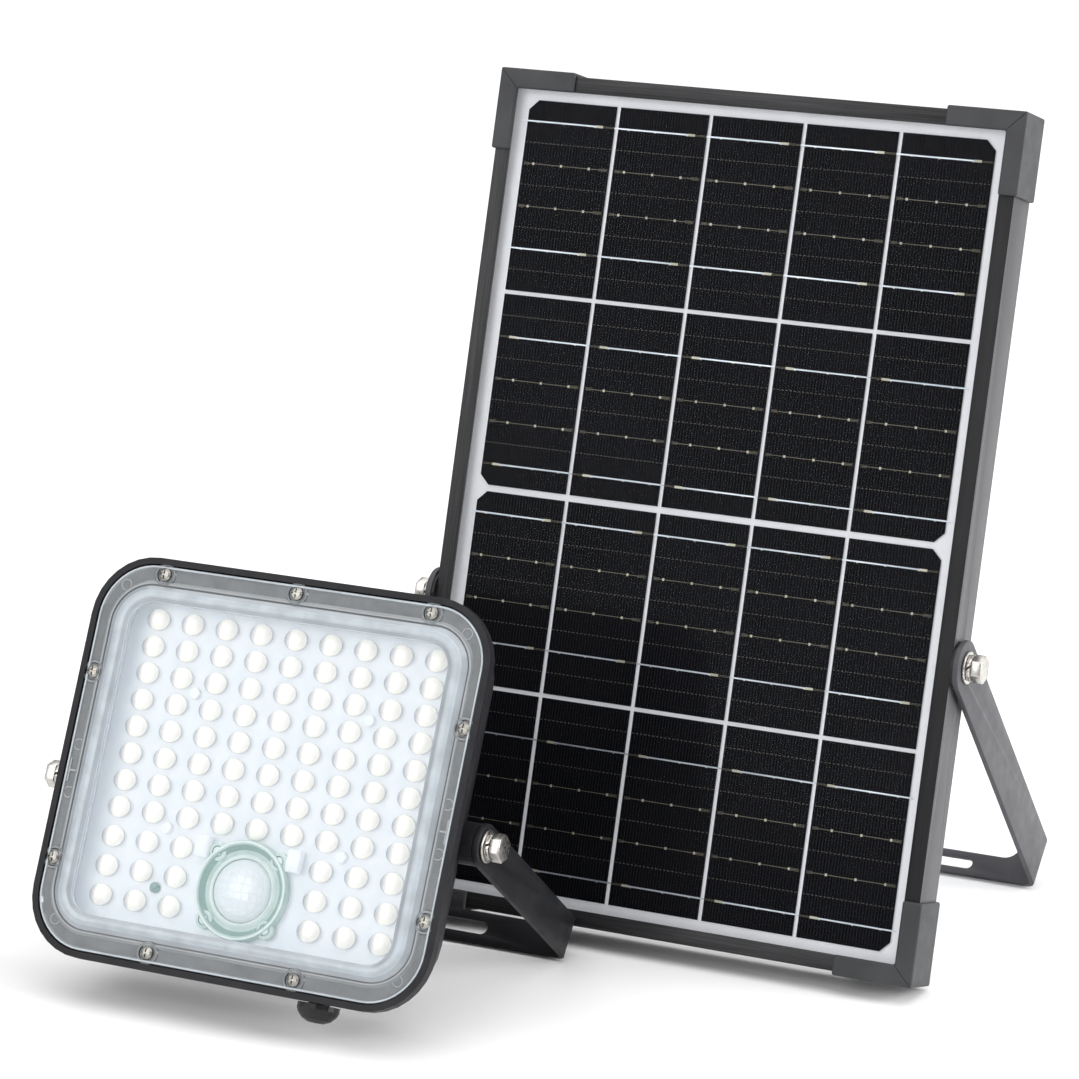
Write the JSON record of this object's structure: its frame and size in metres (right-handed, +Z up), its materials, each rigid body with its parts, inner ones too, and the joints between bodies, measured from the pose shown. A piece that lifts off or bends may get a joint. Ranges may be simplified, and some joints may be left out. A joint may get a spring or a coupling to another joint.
{
  "type": "solar flood light",
  "caption": "LED flood light head with motion sensor and a framed solar panel, each tilting on its own slotted U-bracket.",
  "frame": {"origin": "bottom centre of the bounding box of the lamp and the panel together", "axes": "+Z up, -Y towards the front that the lamp and the panel face, +X to the viewer's right"},
  "size_m": [0.3502, 0.2978, 0.3408],
  "materials": {
    "dark_housing": "satin moulded",
    "clear_cover": "clear polycarbonate, frosted flange",
    "white_board": "white lacquer",
    "led_lens": "milky lens",
    "green_clear": "translucent pale green",
    "milky_dome": "translucent white",
    "stainless_steel": "bright",
    "dark_bracket_paint": "satin powder coat",
    "grey_bracket_paint": "satin powder coat",
    "anodised_rail": "brushed dark anodised",
    "corner_plastic": "fine grain",
    "panel_glass": "clear",
    "silicon_cells": "dark silicon",
    "white_backsheet": "matte film",
    "black_rubber": "matte",
    "circuit_board": "solder mask",
    "cell_wrap": "shrink wrap"
  },
  "bodies": {
    "brackets": {"lamp_bracket": "dark_bracket_paint", "panel_bracket": "grey_bracket_paint"},
    "lamp": {"battery_cell_1": "cell_wrap", "battery_cell_2": "cell_wrap", "battery_cell_3": "cell_wrap", "board_screw_1": "milky_dome", "board_screw_2": "milky_dome", "board_screw_3": "milky_dome", "board_screw_4": "milky_dome", "cable_gland": "black_rubber", "connector_left": "white_board", "connector_right": "white_board", "control_board": "circuit_board", "cover_gasket": "black_rubber", "cover_screw_1": "stainless_steel", "cover_screw_2": "stainless_steel", "cover_screw_3": "stainless_steel", "cover_screw_4": "stainless_steel", "cover_screw_5": "stainless_steel", "cover_screw_6": "stainless_steel", "cover_screw_7": "stainless_steel", "cover_screw_8": "stainless_steel", "cover_screw_9": "stainless_steel", "lamp_bolt_left": "stainless_steel", "lamp_bolt_right": "stainless_steel", "lamp_flat_washer_left": "stainless_steel", "lamp_flat_washer_right": "stainless_steel", "lamp_housing": "dark_housing", "lamp_spring_washer_left": "stainless_steel", "lamp_spring_washer_right": "stainless_steel", "led_board": "white_board", "led_lens_array": "led_lens", "lens_cover": "clear_cover", "light_sensor": "green_clear", "pir_dome": "milky_dome", "pir_holder": "green_clear", "pir_sensor": "stainless_steel"},
    "panel": {"backsheet": "white_backsheet", "corner_guard_bottom_left": "corner_plastic", "corner_guard_bottom_right": "corner_plastic", "corner_guard_top_left": "corner_plastic", "corner_guard_top_right": "corner_plastic", "junction_box": "corner_plastic", "junction_box_lid": "corner_plastic", "panel_bolt_left": "stainless_steel", "panel_bolt_right": "stainless_steel", "panel_cable_inlet": "black_rubber", "panel_flat_washer_left": "stainless_steel", "panel_flat_washer_right": "stainless_steel", "panel_glass": "panel_glass", "panel_spring_washer_left": "stainless_steel", "panel_spring_washer_right": "stainless_steel", "pivot_pad_left": "corner_plastic", "pivot_pad_right": "corner_plastic", "rail_bottom": "anodised_rail", "rail_left": "anodised_rail", "rail_right": "anodised_rail", "rail_top": "anodised_rail", "solar_cells": "silicon_cells"}
  },
  "joints": [
    {"name": "lamp_tilt", "type": "hinge", "parent": "brackets", "child": "lamp", "pos_m": [-0.07305, -0.1002, 0.0748], "axis": [1, 0, 0], "range_deg": [-40, 6]},
    {"name": "panel_tilt", "type": "hinge", "parent": "brackets", "child": "panel", "pos_m": [0.04965, 0.0356, 0.1277], "axis": [1, 0, 0], "range_deg": [0, 40]}
  ]
}
